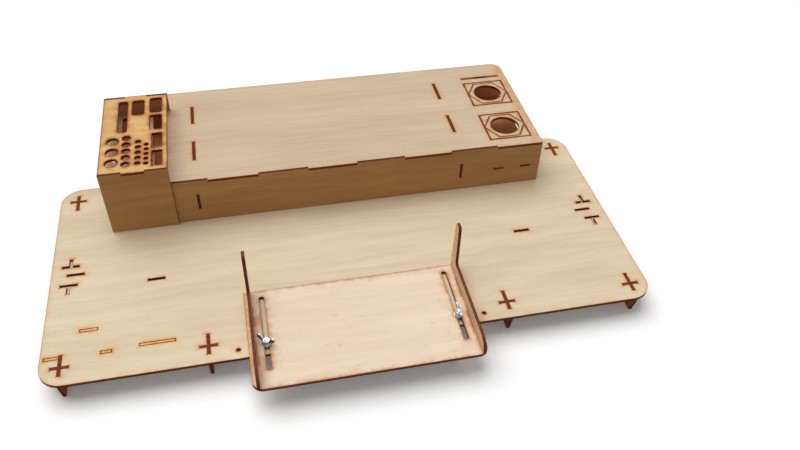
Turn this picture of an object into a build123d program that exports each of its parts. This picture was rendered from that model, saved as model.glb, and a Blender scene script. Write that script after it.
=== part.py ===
"""Laser-cut plywood workstation organizer: a footed base board, a sliding cradle carriage
clamped by two wing nuts, and a raised rear shelf with an open-sided tool box and jar wells.

Millimetres. X runs along the board, Y from front to back, Z up. The origin is on the floor
below the centre of the whole part, with the carriage at its photographed place.
"""

import os

from build123d import *

# Sheet and joints
PLY = 3.0  # thickness of every plywood piece
GAP = 0.1  # clearance on each side of a tab in its slot
KERF = 0.5  # width of a scored outline
SCORE = 1.2  # depth of a scored outline
CROSS_GAP = 0.2  # clearance under and over the sliding plate

# Base board
BASE_W = 586.0
BASE_D = 268.5
BASE_R = 22.0
BASE_TOP = 25.0  # height of its upper face above the floor
BASE_BOTTOM = BASE_TOP - PLY

# Feet: pairs of crossed plates, tabs flush with the top of the board
FOOT_INSETS = (18.0, 149.0)  # outer and inner feet from the end of the board
FOOT_X = BASE_W / 2 - FOOT_INSETS[0]
FOOT_INNER_X = BASE_W / 2 - FOOT_INSETS[1]
FOOT_INSET = 20.1  # cross plate behind the edge of the board
LONG_TAB = (10.5, 34.5)  # measured from the edge of the board
LONG_TOP = (1.5, 42.0)
LONG_FLOOR = (7.0, 36.0)
SHORT_TAB = 16.4
SHORT_TOP = 28.0
SHORT_FLOOR = 18.0
LAP_Z = BASE_TOP / 2

# Carriage
CAR_W = 216.6
CAR_FRONT = -40.2  # measured from the front edge of the board, at the photographed place
CAR_BACK = 76.4
CAR_R = 10.0
RIB_INSET = 5.4
RIB_X = CAR_W / 2 - RIB_INSET
RIB_RAIL = 15.0  # height of the rail above the plate
RIB_ROUND = 13.0
HORN_FRONT = 62.3
HORN_BACK_LOW = 76.0
HORN_BACK_TOP = 71.8
HORN_TOP = 64.0  # above the plate
HORN_ROUND = 4.4
RIB_TABS = ((-12.0, 12.0), (33.0, 57.0))
SLOT_INSET = 11.4
SLOT_X = RIB_X - SLOT_INSET
SLOT = (-20.6, 68.4)
SLOT_W = 4.6

# Clamping hardware, M4
BOLT_Y = 10.0
BOLT_D = 4.0
SPARE_HOLE_OUT = 9.3  # outside the carriage
SPARE_HOLE_X = CAR_W / 2 + SPARE_HOLE_OUT
HOLE_D = 4.2
HEAD_AF = 7.0
HEAD_H = 2.8
WASHER_D = 9.0
WASHER_T = 0.8
NUT_HUB = (4.3, 3.4, 4.6)  # lower radius, upper radius, height
NUT_BORE = BOLT_D / 2 + 0.08
NUT_SPAN = 19.0
NUT_H = 9.5
WING_ROOT = (2.6, 4.2)  # inner and outer distance of the foot of a wing from the bolt
WING_FOOT = 0.8
WING_LOBE = (4.2, 4.6)  # length and height of the outer part of a wing
WING_ROUND = 1.7
WING_T = 1.9
NUT_TURN = {-1: -35.0, 1: 90.0}  # degrees, as the two nuts were left
BOLT_OVER = 0.8  # thread standing over the hub

# Shelf unit, measured from the front edge of the board and above its top
UNIT_INSET = 57.0
UNIT_X = BASE_W / 2 - UNIT_INSET
UNIT_FRONT = 194.5
UNIT_BACK = 362.0
UNIT_R = 12.0
SHELF_H = 54.0
FINGERS = 9
DIVIDER_INSET = 92.5
DIVIDER_X = UNIT_X - DIVIDER_INSET
DIVIDER_BACK = 350.0
DIVIDER_TABS = ((230.0, 263.0), (297.0, 330.0))
DIVIDER_FOOT_TAB = (212.0, 232.0)
DIVIDER_NOSE = (16.0, 36.0)
HOOK_GAP = 0.5  # behind the back edge of the board
ARCH = (284.0, 336.0, 12.0)
ARCH_ROUND = 8.0
PANEL_TAB_X = (-110.0, 0.0, 110.0)
PANEL_TAB = 20.0

# Jar wells
JAR_INSET = 32.7
JAR_X = UNIT_X - JAR_INSET
JAR_Y = (232.6, 300.0)
JAR_SQUARE = 47.0
JAR_HOLE = 32.4
JAR_SLOT_Y = 334.3
JAR_SLOT = 47.0
JAR_FLOOR_H = 25.0
JAR_FLOOR_W = 58.0
JAR_FLOOR_X = (UNIT_X - PLY - JAR_FLOOR_W, UNIT_X - PLY)
JAR_TAB = 15.6
JAR_TABS = (JAR_X - (JAR_SLOT - JAR_TAB) / 2, JAR_X + (JAR_SLOT - JAR_TAB) / 2)
JAR_FLOOR_TAB = 12.0
JAR_PANEL_LOW = 14.0
JAR_PANEL_NOSE = (28.0, 42.0)

# Tool box
BOX_W = 68.0
BOX_X = (-UNIT_X, BOX_W - UNIT_X)
BOX_FRONT = UNIT_FRONT - PLY
BOX_BACK = 330.0
BOX_H = 76.0
BOX_TAB_X = 20.0
WELLS = (  # x centre from the left side of the box, y centre, size x, size y, corner radius
    (56.2, 308.2, 13.0, 28.4, 3.0),
    (56.2, 275.8, 13.0, 28.0, 3.0),
    (57.6, 242.5, 10.8, 26.8, 1.5),
    (57.6, 212.7, 10.8, 25.6, 1.5),
    (37.4, 306.0, 13.0, 28.4, 3.0),
    (21.5, 291.0, 10.0, 58.0, 3.0),
)
HOLE_ROWS = (  # x from the left side of the box, first y, pitch, diameter
    (12.8, 210.7, 18.0, 13.1),
    (26.7, 206.5, 11.1, 8.9),
    (38.7, 206.4, 9.1, 6.2),
    (47.0, 205.1, 8.0, 4.8),
)
HOLE_COUNTS = (3, 5, 5, 5)

# Openings and scored outlines of the base board, x from its end, y centre, length along x
SPARE_BARS = ((17.9, 121.2, 16.5), (17.9, 147.3, 16.5))
SPARE_SLOTS = ((23.6, 135.4, 16.5), (101.9, 115.0, 16.5))
SPARE_STEM = 9.0
SCORED = ((40.8, 60.2, 16.0), (103.4, 33.5, 32.0), (57.8, 31.1, 9.6), (10.1, 31.5, 13.0))

# Y of the front edge of the board, which centres the whole part on the origin
FRONT = -(CAR_FRONT + UNIT_BACK) / 2


def at(offset):
    """Y of a line measured from the front edge of the board."""
    return FRONT + offset


def inward(offset, side):
    """Y of a line measured inward from the front edge (+1) or the back edge (-1) of the board."""
    return at(offset if side > 0 else BASE_D - offset)


def span(x0, x1, y0, y1):
    """Rectangle between two pairs of limits."""
    return Pos((x0 + x1) / 2, (y0 + y1) / 2) * Rectangle(x1 - x0, y1 - y0)


def lying(face, z):
    """Plywood piece flat at height z."""
    return extrude(Plane.XY.offset(z) * face, PLY)


def along(face, x):
    """Plywood piece in a YZ plane, centred on x."""
    return extrude(Plane.YZ.offset(x - PLY / 2) * face, PLY)


def across(face, y):
    """Plywood piece in an XZ plane with its front face at y."""
    return extrude(Plane.XZ.offset(-(y + PLY)) * face, PLY)


def slot(x0, x1, y0, y1):
    """Slot for a tab of the given size, with its clearance."""
    return span(x0 - GAP, x1 + GAP, y0 - GAP, y1 + GAP)


def outline(shape_out, shape_in):
    """Scored line between two faces."""
    return shape_out - shape_in


def foot_places(*sides):
    """X, Y of the cross plate and the side of the feet at the front (+1) or the back (-1)."""
    rows = {1: (-FOOT_X, -FOOT_INNER_X, FOOT_INNER_X, FOOT_X), -1: (-FOOT_X, FOOT_X)}
    return [(x, inward(FOOT_INSET, side), side) for side in sides for x in rows[side]]


def limits(pair, side):
    """Limits in Y of a stretch measured inward from the front or the back edge."""
    return sorted(inward(offset, side) for offset in pair)


def base_board():
    """Board with the foot sockets, clamp holes, unit slots and spare openings."""
    face = Pos(0, at(BASE_D / 2)) * RectangleRounded(BASE_W, BASE_D, BASE_R)
    for x, y, side in foot_places(1, -1):
        face -= slot(x - SHORT_TAB / 2, x + SHORT_TAB / 2, y - PLY / 2, y + PLY / 2)
        face -= slot(x - PLY / 2, x + PLY / 2, *limits(LONG_TAB, side))
    for sign in (-1, 1):
        for x in (SLOT_X, SPARE_HOLE_X):
            face -= Pos(sign * x, at(BOLT_Y)) * Circle(HOLE_D / 2)
        for inset, y, length in SPARE_BARS + SPARE_SLOTS:
            x = sign * (BASE_W / 2 - inset)
            face -= slot(x - length / 2, x + length / 2, at(y) - PLY / 2, at(y) + PLY / 2)
        for (inset, y, _), side in zip(SPARE_BARS, (-1, 1)):
            x = sign * (BASE_W / 2 - inset)
            stem = sorted((at(y), at(y) + side * (PLY / 2 + SPARE_STEM)))
            face -= slot(x - PLY / 2, x + PLY / 2, *stem)
        x = sign * DIVIDER_X
        face -= slot(x - PLY / 2, x + PLY / 2, *[at(v) for v in DIVIDER_FOOT_TAB])
    for x in PANEL_TAB_X:
        face -= slot(x - PANEL_TAB / 2, x + PANEL_TAB / 2, at(UNIT_FRONT), at(UNIT_FRONT) + PLY)
    middle = sum(BOX_X) / 2
    face -= slot(middle - BOX_TAB_X / 2, middle + BOX_TAB_X / 2, at(BOX_FRONT), at(BOX_FRONT) + PLY)
    board = lying(face, BASE_BOTTOM)
    for inset, y, length in SCORED:
        ring = outline(Rectangle(length + KERF, PLY + KERF), Rectangle(length - KERF, PLY - KERF))
        ring = Plane.XY.offset(BASE_TOP) * Pos(inset - BASE_W / 2, at(y)) * ring
        board -= extrude(ring, -SCORE)
    return board


def foot_long_plate(x, y, side):
    """Foot plate along Y, with a lap slot from below for the cross plate."""
    top, floor = limits(LONG_TOP, side), limits(LONG_FLOOR, side)
    tab = limits(LONG_TAB, side)
    face = make_face(Polyline(
        (floor[0], 0), (floor[1], 0), (top[1], BASE_BOTTOM), (top[0], BASE_BOTTOM), close=True
    ))
    face += span(tab[0], tab[1], BASE_BOTTOM - 1, BASE_TOP)
    face -= span(y - PLY / 2 - GAP, y + PLY / 2 + GAP, -1, LAP_Z + GAP)
    return along(face, x)


def foot_cross_plate(x, y):
    """Foot plate along X, with a lap slot from above for the long plate."""
    face = make_face(Polyline(
        (x - SHORT_FLOOR / 2, 0), (x + SHORT_FLOOR / 2, 0),
        (x + SHORT_TOP / 2, BASE_BOTTOM), (x - SHORT_TOP / 2, BASE_BOTTOM), close=True
    ))
    face += span(x - SHORT_TAB / 2, x + SHORT_TAB / 2, BASE_BOTTOM - 1, BASE_TOP)
    face -= span(x - PLY / 2 - GAP, x + PLY / 2 + GAP, LAP_Z, BASE_TOP + 1)
    return across(face, y - PLY / 2)


def carriage_plate():
    """Sliding plate with two clamp slots and the sockets of the ribs."""
    face = span(-CAR_W / 2, CAR_W / 2, at(CAR_FRONT), at(CAR_BACK))
    face = fillet(face.vertices().sort_by(Axis.Y)[:2], CAR_R)
    for sign in (-1, 1):
        way = Rot(0, 0, 90) * SlotOverall(SLOT[1] - SLOT[0], SLOT_W)
        face -= Pos(sign * SLOT_X, at(sum(SLOT) / 2)) * way
        for tab in RIB_TABS:
            x = sign * RIB_X
            face -= slot(x - PLY / 2, x + PLY / 2, at(tab[0]), at(tab[1]))
    return lying(face, BASE_TOP + CROSS_GAP)


def carriage_rib(sign):
    """Upright rib: a low rail, a round nose and a tall horn at the back."""
    low = BASE_TOP + CROSS_GAP + PLY
    nose, rail, front = at(CAR_FRONT), low + RIB_RAIL, at(HORN_FRONT)
    face = make_face(Polyline(
        (nose, low), (nose, rail), (front, rail), (front, low + HORN_TOP),
        (at(HORN_BACK_TOP), low + HORN_TOP), (at(HORN_BACK_LOW), rail),
        (at(HORN_BACK_LOW), low), close=True
    ))
    corners = face.vertices()
    rounded = [v for v in corners if abs(v.X - nose) < 0.01 and abs(v.Y - rail) < 0.01]
    face = fillet(rounded, RIB_ROUND)
    tips = [v for v in face.vertices() if abs(v.Y - low - HORN_TOP) < 0.01]
    face = fillet(tips, HORN_ROUND)
    root = [v for v in face.vertices() if abs(v.X - front) < 0.01 and abs(v.Y - rail) < 0.01]
    face = fillet(root, HORN_ROUND)
    for tab in RIB_TABS:
        face += span(at(tab[0]), at(tab[1]), low - PLY, low + 1)
    return along(face, sign * RIB_X)


def hub_base():
    """Height of the lower face of the wing nuts."""
    return BASE_TOP + 2 * CROSS_GAP + PLY + WASHER_T


def clamp_bolt(sign):
    """Hexagon head bolt up through the board and the carriage slot."""
    place = Pos(sign * SLOT_X, at(BOLT_Y), 0)
    length = hub_base() + NUT_HUB[2] + BOLT_OVER - BASE_BOTTOM
    head = RegularPolygon(HEAD_AF / 2, 6, major_radius=False)
    head = Plane.XY.offset(BASE_BOTTOM - HEAD_H) * head
    shank = Plane.XY.offset(BASE_BOTTOM) * Circle(BOLT_D / 2)
    end = chamfer(extrude(shank, length).edges().sort_by(Axis.Z)[-1:], 0.5)
    return place * (extrude(head, HEAD_H) + end)


def clamp_washer(sign):
    """Flat washer on top of the carriage plate."""
    ring = Circle(WASHER_D / 2) - Circle(HOLE_D / 2)
    z = BASE_TOP + 2 * CROSS_GAP + PLY
    return Pos(sign * SLOT_X, at(BOLT_Y), 0) * extrude(Plane.XY.offset(z) * ring, WASHER_T)


def wing_nut(sign):
    """Wing nut: a conical hub with two raised ears."""
    low_r, high_r, height = NUT_HUB
    hub = make_face(Polyline(
        (0, 0), (low_r, 0), (low_r, WING_FOOT), (high_r, height), (0, height), close=True
    ))
    nut = revolve(Plane.XZ * hub, Axis.Z)
    reach = NUT_SPAN / 2
    for side in (-1, 1):
        ear = make_face(Polyline(
            (side * WING_ROOT[0], WING_FOOT), (side * WING_ROOT[1], WING_FOOT),
            (side * reach, NUT_H - WING_LOBE[1]), (side * reach, NUT_H),
            (side * (reach - WING_LOBE[0]), NUT_H), (side * WING_ROOT[0], height), close=True
        ))
        outer = [v for v in ear.vertices() if abs(v.X) > WING_ROOT[1] + GAP]
        ear = fillet(outer, WING_ROUND)
        nut += extrude(Plane.XZ * ear, WING_T / 2, both=True)
    nut -= extrude(Circle(NUT_BORE), NUT_H)
    return Pos(sign * SLOT_X, at(BOLT_Y), hub_base()) * Rot(0, 0, NUT_TURN[sign]) * nut


def finger_limits():
    """Limits in X of the stretches of the front finger joint of the shelf."""
    step = 2 * UNIT_X / FINGERS
    return [(-UNIT_X + step * n, -UNIT_X + step * (n + 1)) for n in range(FINGERS)]


def tool_openings():
    """Wells and rows of round holes, the same in the shelf and in the top of the tool box."""
    wells = [Pos(BOX_X[0] + x, at(y)) * RectangleRounded(size_x, size_y, radius)
             for x, y, size_x, size_y, radius in WELLS]
    rounds = [Pos(BOX_X[0] + x, at(first + pitch * n)) * Circle(diameter / 2)
              for (x, first, pitch, diameter), count in zip(HOLE_ROWS, HOLE_COUNTS)
              for n in range(count)]
    return wells + rounds


def shelf_plate():
    """Shelf with finger notches, divider slots, jar holes, tool holes and tool box sockets."""
    z = BASE_TOP + SHELF_H - PLY
    face = span(-UNIT_X, UNIT_X, at(UNIT_FRONT), at(UNIT_BACK))
    face = fillet(face.vertices().sort_by(Axis.Y)[-2:], UNIT_R)
    for x0, x1 in finger_limits()[1::2]:
        face -= slot(x0, x1, at(UNIT_FRONT) - PLY, at(UNIT_FRONT) + PLY)
    for sign in (-1, 1):
        for tab in DIVIDER_TABS:
            x = sign * DIVIDER_X
            face -= slot(x - PLY / 2, x + PLY / 2, at(tab[0]), at(tab[1]))
    face -= slot(JAR_X - JAR_SLOT / 2, JAR_X + JAR_SLOT / 2,
                 at(JAR_SLOT_Y) - PLY / 2, at(JAR_SLOT_Y) + PLY / 2)
    for y in JAR_Y:
        face -= Pos(JAR_X, at(y)) * Circle(JAR_HOLE / 2)
    middle = sum(BOX_X) / 2
    face -= slot(middle - BOX_TAB_X / 2, middle + BOX_TAB_X / 2, at(BOX_BACK) - PLY, at(BOX_BACK))
    for opening in tool_openings():
        face -= opening
    shelf = lying(face, z)
    hexagon = JAR_SQUARE / 2
    for y in JAR_Y:
        ring = outline(Rectangle(JAR_SQUARE + KERF, JAR_SQUARE + KERF),
                       Rectangle(JAR_SQUARE - KERF, JAR_SQUARE - KERF))
        ring += outline(RegularPolygon(hexagon, 6), RegularPolygon(hexagon - KERF, 6))
        shelf -= extrude(Plane.XY.offset(z + PLY) * Pos(JAR_X, at(y)) * ring, -SCORE)
    return shelf


def shelf_front_panel():
    """Long front panel of the shelf unit, standing on the board."""
    low, high = BASE_TOP, BASE_TOP + SHELF_H - PLY
    face = span(-UNIT_X, UNIT_X, low, high)
    for x0, x1 in finger_limits()[1::2]:
        face += span(x0, x1, high - 1, high + PLY)
    for x in PANEL_TAB_X:
        face += span(x - PANEL_TAB / 2, x + PANEL_TAB / 2, BASE_BOTTOM, low + 1)
    for sign in (-1, 1):
        x = sign * DIVIDER_X
        face -= slot(x - PLY / 2, x + PLY / 2, *[low + v for v in DIVIDER_NOSE])
    for x in JAR_TABS:
        face -= slot(x - JAR_FLOOR_TAB / 2, x + JAR_FLOOR_TAB / 2,
                     low + JAR_FLOOR_H - PLY, low + JAR_FLOOR_H)
    return across(face, at(UNIT_FRONT))


def divider(sign):
    """Upright under the shelf that hooks over the back edge of the board."""
    inner = at(UNIT_FRONT) + PLY
    high, back = BASE_TOP + SHELF_H - PLY, at(DIVIDER_BACK)
    hook = at(BASE_D) + HOOK_GAP
    face = span(inner, back, BASE_TOP, high) + span(hook, back, 0, BASE_TOP + 1)
    for tab in DIVIDER_TABS:
        face += span(at(tab[0]), at(tab[1]), high - 1, high + PLY)
    face += span(at(DIVIDER_FOOT_TAB[0]), at(DIVIDER_FOOT_TAB[1]), BASE_BOTTOM, BASE_TOP + 1)
    nose = [BASE_TOP + v for v in DIVIDER_NOSE]
    face += span(inner - PLY, inner + 1, nose[0], nose[1])
    arch = span(at(ARCH[0]), at(ARCH[1]), -5, ARCH[2])
    arch = fillet(arch.vertices().sort_by(Axis.Y)[-2:], ARCH_ROUND)
    face -= arch
    if sign > 0:
        y = at(JAR_SLOT_Y)
        noses = [BASE_TOP + v for v in JAR_PANEL_NOSE]
        face -= slot(y - PLY / 2, y + PLY / 2, noses[0], noses[1])
    return along(face, sign * DIVIDER_X)


def jar_back_panel():
    """Panel behind the jars, hung from the shelf by two tabs."""
    low, high = BASE_TOP + JAR_PANEL_LOW, BASE_TOP + SHELF_H - PLY
    inner = DIVIDER_X + PLY / 2
    face = span(inner, JAR_FLOOR_X[1], low, high)
    for x in JAR_TABS:
        face += span(x - JAR_TAB / 2, x + JAR_TAB / 2, high - 1, high + PLY)
        face -= slot(x - JAR_FLOOR_TAB / 2, x + JAR_FLOOR_TAB / 2,
                     BASE_TOP + JAR_FLOOR_H - PLY, BASE_TOP + JAR_FLOOR_H)
    noses = [BASE_TOP + v for v in JAR_PANEL_NOSE]
    face += span(inner - PLY, inner + 1, noses[0], noses[1])
    return across(face, at(JAR_SLOT_Y) - PLY / 2)


def jar_floor():
    """Plate the jars stand on, between the front panel and the jar back panel."""
    y0, y1 = at(UNIT_FRONT) + PLY, at(JAR_SLOT_Y) - PLY / 2
    face = span(JAR_FLOOR_X[0], JAR_FLOOR_X[1], y0, y1)
    for x in JAR_TABS:
        face += span(x - JAR_FLOOR_TAB / 2, x + JAR_FLOOR_TAB / 2, y0 - PLY, y1 + PLY)
    return lying(face, BASE_TOP + JAR_FLOOR_H - PLY)


def box_thirds():
    """Limits in X of the two finger stretches of the tool box."""
    third = (BOX_X[1] - BOX_X[0]) / 3
    return [(BOX_X[0], BOX_X[0] + third), (BOX_X[1] - third, BOX_X[1])]


def tool_top_plate():
    """Top of the tool box with its wells and rows of round holes."""
    face = span(BOX_X[0], BOX_X[1], at(BOX_FRONT), at(BOX_BACK))
    for x0, x1 in box_thirds():
        for y in (at(BOX_FRONT), at(BOX_BACK) - PLY):
            wide = (x0 - PLY, x1) if x0 == BOX_X[0] else (x0, x1 + PLY)
            edge = (y - PLY, y + PLY) if y == at(BOX_FRONT) else (y, y + 2 * PLY)
            face -= slot(wide[0], wide[1], edge[0], edge[1])
    for opening in tool_openings():
        face -= opening
    return lying(face, BASE_TOP + BOX_H - PLY)


def tool_panel(y, low, tab_low):
    """Front or back panel of the tool box, with two fingers up and one tab down."""
    high = BASE_TOP + BOX_H - PLY
    middle = sum(BOX_X) / 2
    face = span(BOX_X[0], BOX_X[1], low, high)
    for x0, x1 in box_thirds():
        face += span(x0, x1, high - 1, high + PLY)
    face += span(middle - BOX_TAB_X / 2, middle + BOX_TAB_X / 2, tab_low, low + 1)
    return across(face, y)


def build_nodes():
    """Name and solids of every node."""
    shelf_top = BASE_TOP + SHELF_H
    return {
        "base_board": [base_board()],
        "front_foot_long_plates": [foot_long_plate(*place) for place in foot_places(1)],
        "front_foot_cross_plates": [foot_cross_plate(x, y) for x, y, _ in foot_places(1)],
        "back_foot_long_plates": [foot_long_plate(*place) for place in foot_places(-1)],
        "back_foot_cross_plates": [foot_cross_plate(x, y) for x, y, _ in foot_places(-1)],
        "carriage_plate": [carriage_plate()],
        "carriage_rib_left": [carriage_rib(-1)],
        "carriage_rib_right": [carriage_rib(1)],
        "clamp_bolts": [clamp_bolt(-1), clamp_bolt(1)],
        "clamp_washers": [clamp_washer(-1), clamp_washer(1)],
        "wing_nut_left": [wing_nut(-1)],
        "wing_nut_right": [wing_nut(1)],
        "shelf_plate": [shelf_plate()],
        "shelf_front_panel": [shelf_front_panel()],
        "divider_left": [divider(-1)],
        "divider_right": [divider(1)],
        "jar_back_panel": [jar_back_panel()],
        "jar_floor": [jar_floor()],
        "tool_top_plate": [tool_top_plate()],
        "tool_front_panel": [tool_panel(at(BOX_FRONT), BASE_TOP, BASE_BOTTOM)],
        "tool_back_panel": [tool_panel(at(BOX_BACK) - PLY, shelf_top, shelf_top - PLY)],
    }


def main():
    """Write every node as a STEP file."""
    os.makedirs("parts", exist_ok=True)
    for name, pieces in build_nodes().items():
        solids = [solid for piece in pieces for solid in piece.solids()]
        shape = solids[0] if len(solids) == 1 else Compound(children=solids)
        export_step(shape, f"parts/{name}.step")


main()
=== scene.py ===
"""Dresses the plywood workstation organizer: burnt laser edges, birch veneer and zinc clamps.

The frame gives every sheet its shape and place. This script gives each sheet its veneer, its
scorch halos and its burnt edges. It models the clamping hardware and the two sheets under the tool
box, and sets the studio.
"""

import logging
import math
from dataclasses import dataclass
from enum import Enum
from functools import partialmethod

import bmesh
import bpy
from mathutils import Matrix, Vector


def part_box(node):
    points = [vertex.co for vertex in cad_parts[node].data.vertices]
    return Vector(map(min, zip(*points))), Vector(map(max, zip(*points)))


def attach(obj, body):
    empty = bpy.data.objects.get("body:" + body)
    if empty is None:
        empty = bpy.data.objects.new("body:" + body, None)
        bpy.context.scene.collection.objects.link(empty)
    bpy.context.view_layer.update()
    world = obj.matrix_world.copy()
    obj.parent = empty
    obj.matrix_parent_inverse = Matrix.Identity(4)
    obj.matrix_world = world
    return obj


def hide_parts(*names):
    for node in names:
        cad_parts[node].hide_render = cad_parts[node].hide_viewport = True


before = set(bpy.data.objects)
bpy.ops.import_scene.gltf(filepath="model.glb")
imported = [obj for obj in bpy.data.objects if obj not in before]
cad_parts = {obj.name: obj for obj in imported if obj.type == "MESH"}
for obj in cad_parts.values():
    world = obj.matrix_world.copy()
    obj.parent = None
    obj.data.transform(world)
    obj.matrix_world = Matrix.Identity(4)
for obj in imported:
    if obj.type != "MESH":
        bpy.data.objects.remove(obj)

LOG = logging.getLogger("organizer")
MM = 0.001
PER_MM = (1 / MM, 1 / MM, 1 / MM)
X, Y, Z = range(3)
PLY = 3.0  # Thickness of the plywood, in millimetres like the next four.
TAB_HALF = 1.6  # Half the thickness of a tab, with its clearance.
FAR = 50.0  # Distance where a sheet has no such cut.
BEYOND = 50.0  # Half depth of the block that cuts an outline off at a square edge.
THINNER = 0.3  # How much thinner the line of a hexagon is.
SHARP = math.radians(32)  # Edges that bend more than this stay sharp.
HEX_HALF = math.radians(30)  # Half the angle between two corners of a hexagon.

Colour = tuple[float, float, float, float]
Point = tuple[float, float]
Triple = tuple[float, float, float]
Mesh, Vert = bmesh.types.BMesh, bmesh.types.BMVert
Edge, Face = bmesh.types.BMEdge, bmesh.types.BMFace
Material, Tree = bpy.types.Material, bpy.types.NodeTree
Node, Socket = bpy.types.Node, bpy.types.NodeSocket
Sockets = bpy.types.bpy_prop_collection

ZERO: Triple = (0.0, 0.0, 0.0)
WHITE: Colour = (1.0, 1.0, 1.0, 1.0)


def tone(*channels: int) -> Colour:
    """Red, green and blue from 0 to 255 as displayed, as the linear colour that shaders take."""

    def linear(value: int) -> float:
        """Linear value of one display channel."""
        share = value / 255
        return share / 12.92 if share <= 0.04045 else ((share + 0.055) / 1.055) ** 2.4

    return (*map(linear, channels), 1.0)


def low_side(node: str, axis: int) -> float:
    """Where a node begins along an axis, in millimetres."""
    return round(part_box(node)[0][axis] / MM, 3)


def high_side(node: str, axis: int) -> float:
    """Where a node ends along an axis, in millimetres."""
    return round(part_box(node)[1][axis] / MM, 3)


def middle(node: str, axis: int) -> float:
    """Middle of a node along an axis, in millimetres."""
    return (low_side(node, axis) + high_side(node, axis)) / 2


FRONT = low_side("base_board", Y)  # Front edge of the board.


def at(offset: float) -> float:
    """Y in millimetres of a line measured from the front edge of the board."""
    return FRONT + offset


def titled(name: str) -> str:
    """The label of a group's socket, from the name used in code."""
    return name.replace("_", " ").title()


class SheetPlane(Enum):
    """How a sheet stands: the frame axes of its two directions and of its thickness."""

    LYING = (X, Y, Z)
    ALONG = (Y, Z, X)
    ACROSS = (X, Z, Y)


class CutKind(Enum):
    """What the laser did along an outline."""

    THROUGH = "through"
    SCORED = "scored"
    HEXAGON = "scored hexagon"
    OUTLINE = "outline"
    # A browned patch: smoke stain along the sides of the carriage and the shelf, and painted shade
    # on the shelf under the tool box.
    STAIN_AND_SHADE = "browned patch"


REACH_NAMES = {
    CutKind.THROUGH: "distance", CutKind.SCORED: "score", CutKind.HEXAGON: "score",
    CutKind.OUTLINE: "edge", CutKind.STAIN_AND_SHADE: "stain",
}
REACHES = ("distance", "corner", "edge", "score", "stain")


@dataclass(frozen=True)
class Cut:
    """One laser cut, or an even row of them, on a sheet.

    Attributes:
        centre: Centre in millimetres, along the sheet's two directions.
        half: Half sizes before the corner radius is added.
        radius: Corner radius, or the radius of a round hole.
        kind: What the laser did.
        mirrored: True if the same cut is on both sides of the middle.
        pitch: Distance between the cuts of a row, along the second direction.
        count: Number of cuts in the row.
    """

    centre: Point
    half: Point = (0.0, 0.0)
    radius: float = 0.0
    kind: CutKind = CutKind.THROUGH
    mirrored: bool = False
    pitch: float = 1.0
    count: int = 1


@dataclass(frozen=True)
class Lumps:
    """A noise pattern.

    Attributes:
        scale: Lumps to the millimetre in each direction.
        detail: How many layers of finer lumps it has.
        roughness: Strength of the finer lumps.
    """

    scale: Triple
    detail: float
    roughness: float = 0.5


BROAD = Lumps((0.006, 0.03, 0.1), 3.0)
FIGURE = Lumps((1.0, 1.0, 1.0), 3.0, 0.6)
FIGURE_STRETCH = (0.012, 0.16, 0.3)
FINE = Lumps((0.05, 1.9, 2.0), 3.0, 0.65)
PORES = Lumps((0.16, 3.4, 3.0), 1.0)
MARKS = Lumps((0.09, 0.75, 1.0), 2.0, 0.7)
PATCHES = Lumps((0.09, 0.09, 0.09), 3.0, 0.6)
BURN = Lumps((0.35, 0.35, 1.6), 3.0, 0.6)
ASH = Lumps((0.05, 0.05, 0.05), 2.0)
TARNISH = Lumps((0.55, 0.55, 0.55), 4.0, 0.6)
TURNING = Lumps((0.6, 0.6, 7.0), 2.0)


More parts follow.
